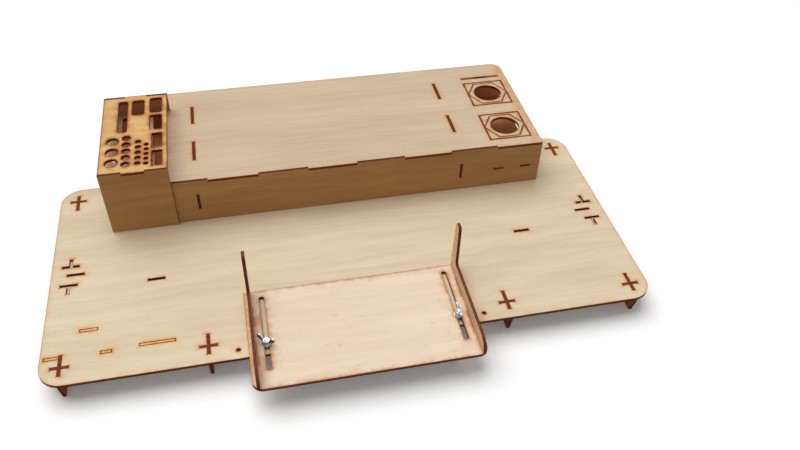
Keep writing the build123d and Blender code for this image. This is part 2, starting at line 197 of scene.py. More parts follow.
class Graph:
    """Adds and links shader nodes in one tree."""

    def __init__(self, tree: Tree) -> None:
        """Keeps the tree that the nodes go into."""
        self.tree = tree

    def add(self, kind: str, **settings: object) -> Node:
        """Adds a node and sets its options.

        Args:
            kind: Node type, such as ShaderNodeMath.
            **settings: Options of the node.

        Returns:
            The new node.
        """
        node = self.tree.nodes.new(kind)
        for name, value in settings.items():
            setattr(node, name, value)
        return node

    def feed(self, value: object, socket: Socket) -> None:
        """Links a socket to another, or sets its own value.

        Args:
            value: A socket to link, or a plain value.
            socket: The input socket.
        """
        if isinstance(value, Socket):
            self.tree.links.new(value, socket)
        else:
            socket.default_value = value

    def fill(self, node: Node, values: tuple[object, ...]) -> Socket:
        """Feeds a node's inputs in order.

        Args:
            node: The node.
            values: Sockets or plain values, one for each input.

        Returns:
            The node's first output.
        """
        for value, socket in zip(values, node.inputs):
            self.feed(value, socket)
        return node.outputs[0]

    def math(self, operation: str, *values: object, clamp: bool = False) -> Socket:
        """A Math node.

        Args:
            operation: The node's operation.
            *values: Up to three sockets or numbers.
            clamp: True to keep the result between 0 and 1.

        Returns:
            The result.
        """
        node = self.add("ShaderNodeMath", operation=operation, use_clamp=clamp)
        return self.fill(node, values)

    def vector(self, operation: str, *values: object) -> Socket:
        """A Vector Math node.

        Args:
            operation: The node's operation.
            *values: Up to three sockets or vectors.

        Returns:
            A value for a length, and a vector for any other operation.
        """
        node = self.add("ShaderNodeVectorMath", operation=operation)
        self.fill(node, values)
        return node.outputs["Value" if operation == "LENGTH" else "Vector"]

    def chain(self, operation: str, *values: object) -> Socket:
        """A Math node of two values, or a chain of them for more.

        Args:
            operation: The nodes' operation.
            *values: Sockets or numbers.

        Returns:
            The result.
        """
        found, *rest = values
        for value in rest:
            found = self.math(operation, found, value)
        return found

    plus = partialmethod(chain, "ADD")
    minus = partialmethod(chain, "SUBTRACT")
    times = partialmethod(chain, "MULTIPLY")
    least = partialmethod(chain, "MINIMUM")
    most = partialmethod(chain, "MAXIMUM")

    def swing(self, value: object, share: object) -> Socket:
        """A value between 0 and 1, moved to swing about 0 and multiplied by a share."""
        return self.times(self.minus(value, 0.5), share)

    def bump(self, shader: Node, height: object, strength: float, depth: float) -> None:
        """Roughens a shader's normal.

        Args:
            shader: The shader.
            height: Height of the surface, from 0 to 1.
            strength: Strength of the effect.
            depth: Depth of the relief, in millimetres.
        """
        node = self.add("ShaderNodeBump")
        node.inputs["Strength"].default_value = strength
        node.inputs["Distance"].default_value = depth * MM
        self.feed(height, node.inputs["Height"])
        self.feed(node.outputs[0], shader.inputs["Normal"])

    def split(self, vector: object) -> list[Socket]:
        """Takes a vector apart.

        Args:
            vector: The vector.

        Returns:
            Its three parts.
        """
        node = self.add("ShaderNodeSeparateXYZ")
        self.feed(vector, node.inputs[0])
        return list(node.outputs)

    def join(self, *parts: object) -> Socket:
        """A vector from up to three parts."""
        return self.fill(self.add("ShaderNodeCombineXYZ"), parts)

    def ramp(self, value: object, low: object, high: object, start: float = 0.0,
             end: float = 1.0) -> Socket:
        """A smooth step.

        Args:
            value: What is stepped.
            low: Value where the step begins.
            high: Value where the step ends.
            start: Result at low.
            end: Result at high.

        Returns:
            The result.
        """
        node = self.add("ShaderNodeMapRange", interpolation_type="SMOOTHSTEP")
        return self.fill(node, (value, low, high, start, end))

    def noise(self, point: object, lumps: Lumps) -> Socket:
        """A noise texture.

        Args:
            point: The shaded point, in millimetres.
            lumps: The pattern.

        Returns:
            A value between 0 and 1.
        """
        node = self.add("ShaderNodeTexNoise")
        self.feed(self.vector("MULTIPLY", point, lumps.scale), node.inputs["Vector"])
        node.inputs["Scale"].default_value = 1.0
        node.inputs["Detail"].default_value = lumps.detail
        node.inputs["Roughness"].default_value = lumps.roughness
        return node.outputs[0]

    def mix(self, share: object, first: object, second: object) -> Socket:
        """Mixes two colours.

        Args:
            share: Share of the second colour.
            first: The first colour.
            second: The second colour.

        Returns:
            The mixed colour.
        """
        node = self.add("ShaderNodeMix", data_type="RGBA")
        self.feed(share, node.inputs["Factor"])
        self.feed(first, node.inputs[6])
        self.feed(second, node.inputs[7])
        return node.outputs[2]

    def use(self, group: Tree, **values: object) -> Sockets:
        """Places a node group.

        Args:
            group: The group.
            **values: Sockets or plain values for its named inputs.

        Returns:
            Its outputs.
        """
        node = self.add("ShaderNodeGroup", node_tree=group)
        for name, value in values.items():
            self.feed(value, node.inputs[titled(name)])
        return node.outputs


def new_paint(name: str) -> tuple[Material, Graph, Node]:
    """Starts a material.

    Args:
        name: Name of the material.

    Returns:
        The material, the graph of its nodes, and its shader.
    """
    made = bpy.data.materials.new(name)
    made.use_nodes = True
    return made, Graph(made.node_tree), made.node_tree.nodes["Principled BSDF"]


def new_object(name: str, data: bpy.types.ID) -> bpy.types.Object:
    """Puts a new object into the scene.

    Args:
        name: Name of the object.
        data: Its mesh, light or camera.

    Returns:
        The object.
    """
    thing = bpy.data.objects.new(name, data)
    bpy.context.scene.collection.objects.link(thing)
    return thing


def new_shape(name: str, mesh: Mesh, material: Material) -> bpy.types.Object:
    """Puts a finished mesh into the scene.

    Args:
        name: Name of the object.
        mesh: The mesh, in metres. It is freed.
        material: The object's only material.

    Returns:
        The object.
    """
    data = bpy.data.meshes.new(name)
    mesh.to_mesh(data)
    mesh.free()
    data.materials.append(material)
    return new_object(name, data)


class EffectGroup:
    """A shader node group with named inputs and outputs, built once."""

    def __init__(self, name: str, **inputs: object) -> None:
        """Makes the group with its inputs.

        Args:
            name: Name of the group.
            **inputs: Default values. A tuple of three is a vector.
        """
        self.tree = bpy.data.node_groups.new(name, "ShaderNodeTree")
        for label, value in inputs.items():
            kind = "NodeSocketVector" if isinstance(value, tuple) else "NodeSocketFloat"
            self._socket(label, "INPUT", kind).default_value = value
        self.graph = Graph(self.tree)
        self.given = self.graph.add("NodeGroupInput").outputs

    def _socket(self, label: str, way: str, kind: str) -> bpy.types.NodeTreeInterfaceSocket:
        """Adds a socket to the group's interface."""
        return self.tree.interface.new_socket(titled(label), in_out=way, socket_type=kind)

    def give(self, **results: Socket | float) -> Tree:
        """Finishes the group.

        Args:
            **results: The value of each output, by its name.

        Returns:
            The finished group.
        """
        for label in results:
            self._socket(label, "OUTPUT", "NodeSocketFloat")
        for value, socket in zip(results.values(), self.graph.add("NodeGroupOutput").inputs):
            self.graph.feed(value, socket)
        return self.tree


class Effects:
    """The shared surface effects of plywood and metal."""

    def __init__(self) -> None:
        """Builds every group once."""
        self.cut_distance = self._cut_distance()
        self.hexagon_distance = self._hexagon_distance()
        self.veneer = self._veneer()
        self.scorch = self._scorch()
        self.burnt_edge = self._burnt_edge()
        self.metal_wear = self._metal_wear()

    def _row_place(self, name: str) -> tuple[EffectGroup, Socket, Socket]:
        """Starts a group that measures the distance to a shape, or to the nearest one of a row.

        Args:
            name: Name of the group.

        Returns:
            The group, and where the shaded point is along and across from the nearest centre.
        """
        group = EffectGroup(name, point=ZERO, centre=ZERO, half=(1.0, 1.0, 0.0),
                            radius=0.0, pitch=1.0, steps=0.0)
        g, given = group.graph, group.given
        along, up, _ = g.split(g.vector("SUBTRACT", given["Point"], given["Centre"]))
        step = g.math("ROUND", g.math("DIVIDE", up, given["Pitch"]))
        step = g.least(g.most(step, 0.0), given["Steps"])
        return group, along, g.minus(up, g.times(step, given["Pitch"]))

    def _cut_distance(self) -> Tree:
        """Distance in millimetres to a rounded rectangle, and to its corners."""
        group, along, up = self._row_place("Cut Distance")
        g, given = group.graph, group.given
        reach = g.vector("SUBTRACT", g.vector("ABSOLUTE", g.join(along, up, 0.0)), given["Half"])
        outside = g.vector("LENGTH", g.vector("MAXIMUM", reach, ZERO))
        across, over, _ = g.split(reach)
        inside = g.least(g.most(across, over), 0.0)
        return group.give(distance=g.minus(g.plus(outside, inside), given["Radius"]),
                          corner=g.vector("LENGTH", reach))

    def _hexagon_distance(self) -> Tree:
        """Distance in millimetres to a regular hexagon with two corners along the grain."""
        group, along, up = self._row_place("Hexagon Distance")
        g = group.graph
        along, up = g.math("ABSOLUTE", along), g.math("ABSOLUTE", up)
        slant = g.plus(g.times(along, math.cos(HEX_HALF)), g.times(up, math.sin(HEX_HALF)))
        return group.give(distance=g.minus(g.most(up, slant), group.given["Radius"]), corner=FAR)

    def _veneer(self) -> Tree:
        """Birch veneer: broad figure, fine streaks along the grain, and a few dark flecks."""
        group = EffectGroup("Birch Veneer", point=ZERO, seed=0.0, figure=0.5, streaks=0.5)
        g, given = group.graph, group.given
        shift = g.join(given["Seed"], g.times(given["Seed"], 1.7), given["Seed"])
        point = g.vector("ADD", given["Point"], shift)
        broad = g.noise(point, BROAD)
        bent = g.vector("ADD", g.vector("MULTIPLY", point, FIGURE_STRETCH),
                        g.join(0.0, g.times(broad, 5.0), 0.0))
        figure = g.noise(bent, FIGURE)
        fine = g.noise(point, FINE)
        pores = g.noise(point, PORES)
        marks = g.noise(point, MARKS)
        waves = g.plus(g.swing(figure, given["Figure"]), g.swing(broad, given["Figure"]))
        streak = g.plus(g.swing(fine, given["Streaks"]), 0.5)
        fleck = g.most(g.ramp(marks, 0.67, 0.74), g.ramp(pores, 0.80, 0.92, 0.0, 0.4))
        return group.give(tone=g.math("ADD", waves, streak, clamp=True), flecks=fleck,
                          height=g.minus(fine, g.times(fleck, 0.4)))

    def _scorch(self) -> Tree:
        """Smoke stain that fades away from a cut, burnt corners, and scored lines."""
        group = EffectGroup("Scorch Halo", point=ZERO, **dict.fromkeys(REACHES, FAR),
                            width=2.5, spot=2.2, strength=0.6, line=1.0)
        g, given = group.graph, group.given
        patchy = g.noise(given["Point"], PATCHES)
        uneven = g.ramp(patchy, 0.32, 0.68, 0.3, 1.5)
        reach = g.times(given["Width"], uneven)
        near = g.least(given["Distance"], g.times(given["Edge"], 1.4),
                       g.times(given["Score"], 0.85))
        haze = g.ramp(near, 0.0, g.times(reach, 3.0), 0.3, 0.0)
        side = g.plus(g.times(g.ramp(near, 0.0, reach, 1.0, 0.0), 0.7), haze)
        spot = g.ramp(given["Corner"], 0.3, g.times(given["Spot"], uneven), 1.0, 0.0)
        # Browned patches, in the smoke colour: smoke stain on the sheets' sides, and painted shade
        # where the shelf lies under the tool box.
        stain = g.times(g.ramp(given["Stain"], 0.0, 10.0, 0.62, 0.0), uneven)
        halo = g.most(side, stain, spot)
        char = g.most(g.ramp(g.least(given["Distance"], given["Edge"]), 0.05, 0.5, 1.0, 0.0),
                      g.ramp(given["Corner"], 0.2, 1.1, 0.85, 0.0))
        line = g.ramp(g.math("DIVIDE", given["Score"], given["Line"]), 0.45, 1.05, 1.0, 0.0)
        return group.give(halo=g.math("MULTIPLY", halo, given["Strength"], clamp=True), char=char,
                          line=g.times(line, g.ramp(patchy, 0.3, 0.6, 0.65, 1.0)))

    def _burnt_edge(self) -> Tree:
        """Mask of a laser-cut edge, and its three plies with their glue lines."""
        group = EffectGroup("Burnt Edge", point=ZERO, normal=(0.0, 0.0, 1.0), low_face=0.0)
        g, given = group.graph, group.given
        _, _, facing = g.split(given["Normal"])
        _, _, depth = g.split(given["Point"])
        share = g.math("DIVIDE", g.minus(depth, given["Low Face"]), PLY)
        outward = g.math("ABSOLUTE", g.minus(share, 0.5))
        glue = g.ramp(g.math("ABSOLUTE", g.minus(outward, 0.17)), 0.02, 0.07, 1.0, 0.0)
        core = g.ramp(outward, 0.19, 0.12)
        burn = g.ramp(g.noise(given["Point"], BURN), 0.34, 0.68)
        ply = g.plus(g.times(core, 0.2), g.times(burn, 0.85))
        ash = g.noise(given["Point"], ASH)
        return group.give(edge=g.ramp(g.math("ABSOLUTE", facing), 0.75, 0.35),
                          ply=g.math("SUBTRACT", ply, g.times(glue, 0.35), clamp=True),
                          ash=g.ramp(ash, 0.42, 0.68))

    def _metal_wear(self) -> Tree:
        """Fine turning marks and dull patches of zinc plating."""
        group = EffectGroup("Metal Wear", point=ZERO, marks=0.5)
        g, given = group.graph, group.given
        lumps = g.noise(given["Point"], TARNISH)
        rings = g.noise(given["Point"], TURNING)
        return group.give(tone=g.ramp(lumps, 0.3, 0.7), dull=g.times(lumps, given["Marks"]),
                          height=g.plus(rings, g.times(lumps, 0.5)))


@dataclass(frozen=True)
class PlywoodFinish:
    """Colours and burning of one plywood batch, or of a toned copy that paints the shade where its
    sheets stand.

    Attributes:
        name: Name of the material.
        pale: Lightest veneer colour.
        deep: Darkest veneer colour.
        fleck: Colour of the mineral flecks.
        smoke: Colour of the scorch halos and browned patches; under the tool box that patch is
            painted shade.
        char: Colour of the cut lines.
        score: Colour of the scored lines.
        edge_light: Lighter burnt edge colour.
        edge_dark: Darker burnt edge colour.
        figure: Strength of the broad figure.
        streaks: Strength of the fine streaks.
        halo: Reach of the smoke beside a cut, in millimetres.
        spot: Reach of the smoke at a corner, in millimetres.
        scorch: Strength of the smoke.
        line: Half width of a scored line, in millimetres.
        roughness: Roughness of the veneer.
        specular: Strength of the highlights.
        relief: Strength and depth of the grain's relief.
    """

    name: str
    pale: Colour
    deep: Colour
    fleck: Colour = tone(166, 126, 86)
    smoke: Colour = tone(208, 146, 74)
    char: Colour = tone(112, 52, 26)
    score: Colour = tone(186, 116, 50)
    edge_light: Colour = tone(146, 80, 54)
    edge_dark: Colour = tone(78, 30, 22)
    figure: float = 0.9
    streaks: float = 0.45
    halo: float = 2.6
    spot: float = 2.6
    scorch: float = 0.75
    line: float = 0.8
    roughness: float = 0.62
    specular: float = 0.15
    relief: Point = (0.35, 0.12)


BOARD = PlywoodFinish("board_birch", tone(233, 216, 187), tone(208, 187, 153), halo=2.4,
                      smoke=tone(218, 146, 46), score=tone(194, 118, 32), spot=3.6, line=0.95)
CARRIAGE = PlywoodFinish("carriage_birch", tone(243, 224, 203), tone(226, 200, 171), halo=4.0,
                         smoke=tone(194, 134, 72), scorch=0.88)
RIB = PlywoodFinish("rib_birch", tone(232, 202, 166), tone(208, 170, 128), halo=5.0,
                    smoke=tone(186, 124, 66))
SHELF = PlywoodFinish("shelf_birch", tone(217, 195, 167), tone(194, 168, 137), halo=2.6,
                      smoke=tone(204, 138, 68), score=tone(134, 62, 26), line=1.75)
BOX = PlywoodFinish("tool_box_birch", tone(232, 193, 130), tone(204, 156, 97), halo=3.4,
                    smoke=tone(172, 98, 42), scorch=0.95)
# Standing panels: a darker copy of the birch. Its lower tone is painted shade on the panels' front
# faces, which face away from the lamp.
PANEL_PAINTED_SHADE = PlywoodFinish("panel_birch_painted_shade", tone(198, 150, 98), tone(162, 114, 68), halo=5.0,
                      edge_light=tone(120, 54, 26), edge_dark=tone(62, 21, 8))
FOOT = PlywoodFinish("foot_birch", tone(212, 136, 82), tone(180, 104, 54), halo=6.0,
                     edge_light=tone(148, 78, 48), edge_dark=tone(70, 26, 16))
# Floors and back panels inside the wells: a deeper, redder copy of the birch. Its tone is painted
# shade and warm bounced light inside the wells.
WELL_PAINTED_SHADE = PlywoodFinish("well_birch_painted_shade", tone(212, 142, 90), tone(184, 112, 66), halo=5.0)
# Back panel of the jar wells: a more orange copy of the birch. Its tone is painted warm bounced
# light in the shade behind the jars.
JAR_PANEL = PlywoodFinish("jar_panel_birch_painted_shade", tone(234, 162, 112), tone(208, 130, 84), halo=5.0)


@dataclass
class PlywoodSheet:
    """One plywood sheet and the material that it gets.

    Attributes:
        node: Name of the node, or of the new piece.
        plane: How the sheet stands.
        finish: Its plywood batch, or a toned copy that paints the sheet's shade.
        seed: Shifts the veneer, so that no two sheets match.
        cuts: Cuts that leave smoke on its faces.
        low: Place of a new piece's lower face along its thickness, in millimetres.
    """

    node: str
    plane: SheetPlane
    finish: PlywoodFinish
    seed: float
    cuts: tuple[Cut, ...] = ()
    low: float | None = None

    def material(self, effects: Effects) -> Material:
        """Builds the sheet's own material.

        Args:
            effects: The shared node groups.

        Returns:
            The material.
        """
        made, g, shader = new_paint(f"{self.node}_{self.finish.name}")
        place = g.add("ShaderNodeTexCoord")
        point = self._turned(g, g.vector("MULTIPLY", place.outputs["Object"], PER_MM))
        normal = self._turned(g, place.outputs["Normal"])
        look = self.finish
        veneer = g.use(effects.veneer, point=point, seed=self.seed, figure=look.figure,
                       streaks=look.streaks)
        edge = g.use(effects.burnt_edge, point=point, normal=normal, low_face=self._low_face())
        scorch = g.use(effects.scorch, point=point, width=look.halo, spot=look.spot,
                       strength=look.scorch, line=look.line, **self._cut_reach(g, effects, point))
        wood = g.mix(veneer["Tone"], look.deep, look.pale)
        wood = g.mix(g.times(veneer["Flecks"], 0.55), wood, look.fleck)
        # Smoke halos and browned patches; the shelf's patch under the tool box is painted shade.
        wood = g.mix(scorch["Halo"], wood, look.smoke)
        wood = g.mix(scorch["Line"], wood, look.score)
        wood = g.mix(g.times(scorch["Char"], 0.8), wood, look.char)
        side = g.mix(edge["Ply"], look.edge_dark, look.edge_light)
        side = g.mix(g.times(edge["Ash"], 0.3), side, look.char)
        g.feed(g.mix(edge["Edge"], wood, side), shader.inputs["Base Color"])
        gloss = g.plus(g.times(veneer["Tone"], -0.12), look.roughness)
        g.feed(g.plus(gloss, g.times(edge["Edge"], 0.2)), shader.inputs["Roughness"])
        shader.inputs["Specular IOR Level"].default_value = look.specular
        height = g.plus(g.times(veneer["Height"], 0.4), g.times(edge["Ply"], edge["Edge"]))
        g.bump(shader, height, *look.relief)
        return made

    def dress(self, effects: Effects) -> None:
        """Gives the node its material.

        Args:
            effects: The shared node groups.
        """
        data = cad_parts[self.node].data
        data.materials.clear()
        data.materials.append(self.material(effects))
        LOG.info("dressed %s in %s", self.node, self.finish.name)

    def _low_face(self) -> float:
        """Lower face of the sheet along its thickness, in millimetres."""
        return low_side(self.node, self.plane.value[2]) if self.low is None else self.low

    def _turned(self, g: Graph, vector: Socket) -> Socket:
        """A vector as its parts along the sheet's two directions and its thickness."""
        parts = g.split(vector)
        return g.join(*[parts[axis] for axis in self.plane.value])

    def _cut_reach(self, g: Graph, effects: Effects, point: Socket) -> dict[str, Socket | float]:
        """Distances to the nearest cut, cut corner, outer edge, scored line and stain.

        Args:
            g: Graph of the material.
            effects: The shared node groups.
            point: The shaded point in sheet directions.

        Returns:
            The five distances, each a large number where the sheet has no such cut.
        """
        along, up, _ = g.split(point)
        flat = g.join(along, up, 0.0)
        folded = g.join(g.math("ABSOLUTE", along), up, 0.0)
        reach: dict[str, Socket | float] = dict.fromkeys(REACHES, FAR)
        for cut in self.cuts:
            hexagon = cut.kind is CutKind.HEXAGON
            found = g.use(effects.hexagon_distance if hexagon else effects.cut_distance,
                          point=folded if cut.mirrored else flat, centre=(*cut.centre, 0.0),
                          half=(*cut.half, 0.0), radius=cut.radius, pitch=cut.pitch,
                          steps=float(cut.count - 1))
            away = found["Distance"]
            if cut.kind is not CutKind.STAIN_AND_SHADE:
                away = g.plus(g.math("ABSOLUTE", away), THINNER if hexagon else 0.0)
            name = REACH_NAMES[cut.kind]
            reach[name] = g.least(reach[name], away)
            if cut.radius == 0.0 and cut.kind in (CutKind.THROUGH, CutKind.SCORED):
                reach["corner"] = g.least(reach["corner"], found["Corner"])
        return reach


@dataclass(frozen=True)
class ZincFinish:
    """Bright zinc plating of the clamp hardware.

    Attributes:
        name: Name of the material.
        bright: Colour where it is clean.
        dull: Colour where it is dull.
        shade: Painted shade and dark reflection on what faces down or sideways.
        marks: Strength of the dull patches.
        roughness: Roughness where it is clean.
        relief: Strength and depth of the turning marks.
    """

    name: str = "zinc_plate"
    bright: Colour = tone(236, 238, 240)
    dull: Colour = tone(170, 174, 178)
    shade: Colour = tone(92, 92, 94)
    marks: float = 0.2
    roughness: float = 0.16
    relief: Point = (0.25, 0.03)

    def material(self, effects: Effects) -> Material:
        """Builds the metal.

        Args:
            effects: The shared node groups.

        Returns:
            The material.
        """
        made, g, shader = new_paint(self.name)
        place = g.add("ShaderNodeTexCoord")
        point = g.vector("MULTIPLY", place.outputs["Object"], PER_MM)
        wear = g.use(effects.metal_wear, point=point, marks=self.marks)
        _, _, rise = g.split(place.outputs["Normal"])
        lit = g.mix(wear["Tone"], self.dull, self.bright)
        # Painted shade and dark reflection: surfaces that face down or sideways are mixed towards
        # the shade colour.
        g.feed(g.mix(g.ramp(rise, -0.2, 0.55), self.shade, lit), shader.inputs["Base Color"])
        g.feed(g.plus(wear["Dull"], self.roughness), shader.inputs["Roughness"])
        shader.inputs["Metallic"].default_value = 1.0
        g.bump(shader, wear["Height"], *self.relief)
        return made


def finish_piece(mesh: Mesh, name: str, body: str, node: str | None, material: Material) -> None:
    """Makes a finished piece of a mesh in millimetres.

    Args:
        mesh: The mesh, in place, in millimetres.
        name: Name of the piece.
        body: The body it rides on.
        node: The node that it stands for, if any.
        material: Its material.
    """
    bmesh.ops.remove_doubles(mesh, verts=mesh.verts, dist=0.002)
    bmesh.ops.recalc_face_normals(mesh, faces=mesh.faces)
    bmesh.ops.scale(mesh, vec=(MM, MM, MM), verts=mesh.verts)
    for face in mesh.faces:
        face.smooth = True
    thing = new_shape(name, mesh, material)
    thing.data.set_sharp_from_angle(angle=SHARP)
    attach(thing, body)
    if node:
        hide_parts(node)
    LOG.info("modelled %s on %s", name, body)


def is_vertex(part: object) -> bool:
    """True for a vertex among the parts that an operator returns."""
    return isinstance(part, Vert)


def extrude(mesh: Mesh, faces: list[Face], move: list[float]) -> list[Vert]:
    """Extrudes faces.

    Args:
        mesh: The mesh.
        faces: Faces of it.
        move: How far they move.

    Returns:
        The vertices that moved.
    """
    out = bmesh.ops.extrude_face_region(mesh, geom=faces)
    moved = [part for part in out["geom"] if is_vertex(part)]
    bmesh.ops.translate(mesh, vec=move, verts=moved)
    return moved


def soften(mesh: Mesh, edges: list[Edge], width: float, segments: int) -> None:
    """Rounds edges off."""
    bmesh.ops.bevel(mesh, geom=edges, offset=width, segments=segments, profile=0.5,
                    affect="EDGES", material=-1)


def turned_ring(profile: list[Point], steps: int) -> Mesh:
    """Spins a profile of radius and height about Z.

    Args:
        profile: Points of radius and height. A first and last radius of 0 close it.
        steps: Sides of the turned shape.

    Returns:
        The turned shape.
    """
    mesh = bmesh.new()
    line = [mesh.verts.new((radius, 0.0, height)) for radius, height in profile]
    edges = [mesh.edges.new(pair) for pair in zip(line, line[1:])]
    bmesh.ops.spin(mesh, geom=line + edges, cent=(0, 0, 0), axis=(0, 0, 1), dvec=(0, 0, 0),
                   angle=math.tau, steps=steps, use_merge=True, use_duplicate=False)
    return mesh


@dataclass
class ClampHardware:
    """The two bolts, washers and wing nuts that clamp the carriage.

    Attributes:
        spread: X of each bolt from the middle.
        depth: Y of the bolts.
        board_low: Height of the board's lower face.
        washer_low: Height of the washers' lower face.
        washer: Outer radius, inner radius and thickness of a washer.
        washer_rim: Roundness of a washer's rim.
        head: Flat-to-flat size and height of a bolt head.
        head_rim: Chamfer of a bolt head.
        shank: Radius of a bolt.
        past_nut: Length of a bolt that stands out of its nut.
        chamfer: Chamfer of a bolt's end.
        thread: Pitch of the thread.
        thread_depth: Depth of the thread.
        plain: Lengths without thread at the foot, and in all.
        hub: Lower radius, upper radius and height of a wing nut's hub.
        bore: Radius of the hole in the hub.
        span: Distance between the tips of the wings.
        wing_top: Height of the wings above the hub's base.
        wing_thickness: Thickness of a wing.
        wing_rim: Roundness of a wing's edges.
        lobe: Radius of a wing's round end.
        roots: Reach, height and radius of the two circles that a wing grows from.
        turns: Turn of the left and of the right nut about its bolt, in degrees.
        finish: The plating.
    """

    spread: float = middle("wing_nut_right", X)
    depth: float = middle("wing_nut_right", Y)
    board_low: float = low_side("base_board", Z)
    washer_low: float = low_side("clamp_washers", Z)
    washer: Triple = (4.5, 2.1, 0.8)
    washer_rim: float = 0.18
    head: Point = (7.0, 2.8)
    head_rim: float = 0.45
    shank: float = 2.0
    past_nut: float = 0.8
    chamfer: float = 0.5
    thread: float = 0.7
    thread_depth: float = 0.3
    plain: Point = (0.4, 1.0)
    hub: Triple = (3.8, 3.2, 4.6)
    bore: float = 2.08
    span: float = 19.0
    wing_top: float = 9.5
    wing_thickness: float = 1.9
    wing_rim: float = 0.5
    lobe: float = 2.55
    roots: tuple[Triple, Triple] = ((3.3, 2.0, 1.05), (3.2, 3.3, 0.95))
    turns: Point = (-35.0, 90.0)
    finish: ZincFinish = ZincFinish()

    def build(self, effects: Effects) -> None:
        """Models all the hardware.

        Args:
            effects: The shared node groups.
        """
        zinc = self.finish.material(effects)
        bolts, washers = bmesh.new(), bmesh.new()
        nut_low = self.washer_low + self.washer[2]
        pieces = [(bolts, "clamp_bolts", "frame"), (washers, "clamp_washers", "frame")]
        for side, word, turn in zip((-1, 1), ("left", "right"), self.turns):
            self._set_in(bolts, self._bolt_head(), side, self.board_low - self.head[1])
            self._set_in(bolts, self._bolt_shank(), side, self.board_low)
            self._set_in(washers, self._washer(), side, self.washer_low)
            nut = bmesh.new()
            for part in (self._hub(), self._wing(-1), self._wing(1)):
                self._set_in(nut, part, side, nut_low, turn)
            pieces.append((nut, f"wing_nut_{word}", f"{word}_wing_nut"))
        for mesh, node, body in pieces:
            finish_piece(mesh, f"{node}_dressed", body, node, zinc)

    def _set_in(self, mesh: Mesh, part: Mesh, side: int, height: float,
                turn: float = 0.0) -> None:
        """Turns a part about Z, sets it on a bolt's axis and adds it to a mesh.

        Args:
            mesh: Mesh that takes the part.
            part: The part, about the origin. It is freed.
            side: -1 for the left bolt and +1 for the right one.
            height: Height of the part's foot, in millimetres.
            turn: Turn about the bolt, in degrees.
        """
        move = Matrix.Translation((side * self.spread, self.depth, height))
        move = move @ Matrix.Rotation(math.radians(turn), 4, "Z")
        bmesh.ops.transform(part, matrix=move, verts=part.verts)
        carrier = bpy.data.meshes.new("carrier")
        part.to_mesh(carrier)
        part.free()
        mesh.from_mesh(carrier)
        bpy.data.meshes.remove(carrier)

    def _bolt_head(self) -> Mesh:
        """Hexagon head with a chamfered rim below."""
        flat, height = self.head
        mesh = bmesh.new()
        made = bmesh.ops.create_circle(mesh, cap_ends=True, segments=6,
                                       radius=flat / 2 / math.cos(HEX_HALF))
        low = list(made["verts"])
        extrude(mesh, list(mesh.faces), [0, 0, height])
        bmesh.ops.contextual_create(mesh, geom=low)
        rims = [edge for edge in mesh.edges if all(vert in low for vert in edge.verts)]
        soften(mesh, rims, self.head_rim, 2)
        return mesh

    def _bolt_shank(self) -> Mesh:
        """Threaded shank with a chamfered end."""
        length = self.washer_low + self.washer[2] + self.hub[2] + self.past_nut - self.board_low
        profile: list[Point] = [(0.0, 0.0), (self.shank, 0.0)]
        for turn in range(int((length - self.plain[1]) / self.thread)):
            low = self.plain[0] + turn * self.thread
            profile += [(self.shank, low), (self.shank - self.thread_depth, low + self.thread / 2)]
        profile += [(self.shank, length - self.chamfer - 0.05),
                    (self.shank - self.chamfer, length), (0.0, length)]
        return turned_ring(profile, 24)

    def _washer(self) -> Mesh:
        """Flat washer with a rolled outer rim."""
        outer, inner, thick = self.washer
        rim = self.washer_rim
        return turned_ring([
            (inner, 0.0), (outer - rim, 0.0), (outer, rim), (outer, thick - rim),
            (outer - rim, thick), (inner + rim, thick), (inner, thick - rim), (inner, 0.0),
        ], 48)

    def _hub(self) -> Mesh:
        """Cast hub of a wing nut with a rounded foot."""
        low, high, height = self.hub
        return turned_ring([
            (self.bore, 0.0), (low - 0.3, 0.0), (low, 0.3), (low, 0.8), (low - 0.35, 1.3),
            (high + 0.1, height - 0.6), (high - 0.35, height), (self.bore + 0.25, height),
            (self.bore, height - 0.25), (self.bore, 0.0),
        ], 40)

    def _wing(self, way: int) -> Mesh:
        """One wing: the hull of its roots and a round lobe, with rounded edges.

        Args:
            way: -1 or +1, the side of the hub that it is on.

        Returns:
            The wing.
        """
        mesh = bmesh.new()
        lobe = (self.span / 2 - self.lobe, self.wing_top - self.lobe, self.lobe)
        verts: list[Vert] = []
        for x, z, radius in (lobe, *self.roots):
            place = Matrix.Translation((way * x, 0, z)) @ Matrix.Rotation(math.pi / 2, 4, "X")
            made = bmesh.ops.create_circle(mesh, segments=20, radius=radius, matrix=place)
            verts += made["verts"]
        hull = bmesh.ops.convex_hull(mesh, input=verts, use_existing_faces=False)
        loose = [part for part in hull["geom_interior"] + hull["geom_unused"] if is_vertex(part)]
        bmesh.ops.delete(mesh, geom=loose, context="VERTS")
        kept = [vert for vert in verts if vert.is_valid]
        bmesh.ops.dissolve_limit(mesh, angle_limit=0.02, verts=kept,
                                 edges=list({edge for vert in kept for edge in vert.link_edges}))
        still = [vert for vert in kept if vert.is_valid]
        faces = list({face for vert in still for face in vert.link_faces})
        half = self.wing_thickness / 2
        moved = extrude(mesh, faces[:1], [0, half, 0])
        bmesh.ops.translate(mesh, vec=(0, -half, 0), verts=still)
        rims = [edge for edge in mesh.edges
                if any(all(vert in rim for vert in edge.verts) for rim in (moved, still))]
        soften(mesh, rims, self.wing_rim, 3)
        return mesh


